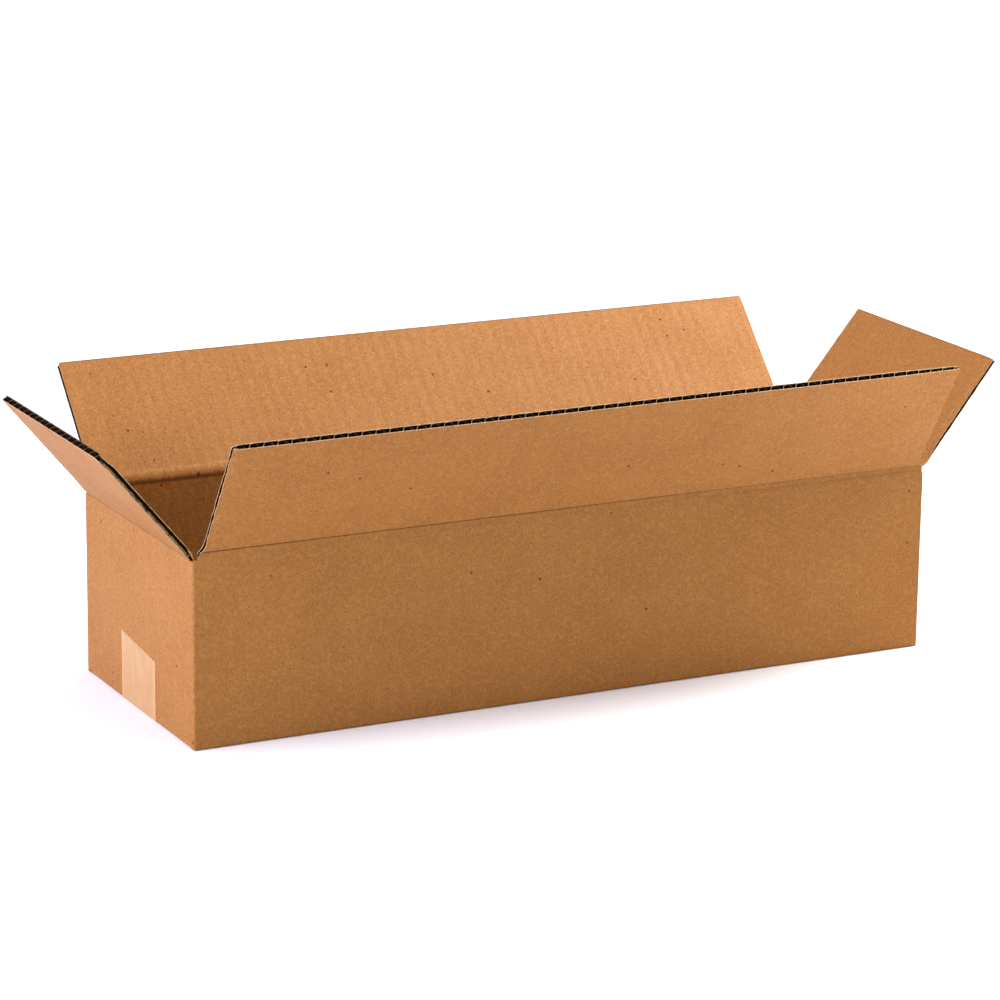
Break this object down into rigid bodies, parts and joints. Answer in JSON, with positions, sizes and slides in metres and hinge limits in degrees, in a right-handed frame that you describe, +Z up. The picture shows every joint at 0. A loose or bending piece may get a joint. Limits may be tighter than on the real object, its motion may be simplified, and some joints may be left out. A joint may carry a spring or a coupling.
{
  "type": "open corrugated cardboard box",
  "caption": "Long, low corrugated shipping carton with open top flaps, fluted free edges, slotted corners and a taped bottom seam.",
  "frame": {"origin": "under the middle of the box, on the face of the bottom tape that it rests on", "axes": "+X along the box from the left end to the right end, +Y from the front wall to the back wall, +Z up"},
  "size_m": [0.5666, 0.2558, 0.1806],
  "materials": {
    "kraft_board": "matte",
    "packing_tape": "satin"
  },
  "bodies": {
    "carton": {"carton_body": "kraft_board", "sealing_tape": "packing_tape"},
    "front_flap": {"front_flap": "kraft_board"},
    "back_flap": {"back_flap": "kraft_board"},
    "left_end_flap": {"left_end_flap": "kraft_board"},
    "right_end_flap": {"right_end_flap": "kraft_board"}
  },
  "joints": [
    {"name": "front_flap_crease", "type": "hinge", "parent": "carton", "child": "front_flap", "pos_m": [0, -0.08, 0.11145], "axis": [1, 0, 0], "range_deg": [-122, 138]},
    {"name": "back_flap_crease", "type": "hinge", "parent": "carton", "child": "back_flap", "pos_m": [0, 0.08, 0.11145], "axis": [-1, 0, 0], "range_deg": [-133, 127]},
    {"name": "left_end_flap_crease", "type": "hinge", "parent": "carton", "child": "left_end_flap", "pos_m": [-0.2325, 0, 0.10725], "axis": [0, -1, 0], "range_deg": [-130, 130]},
    {"name": "right_end_flap_crease", "type": "hinge", "parent": "carton", "child": "right_end_flap", "pos_m": [0.2325, 0, 0.10725], "axis": [0, 1, 0], "range_deg": [-130, 130]}
  ]
}
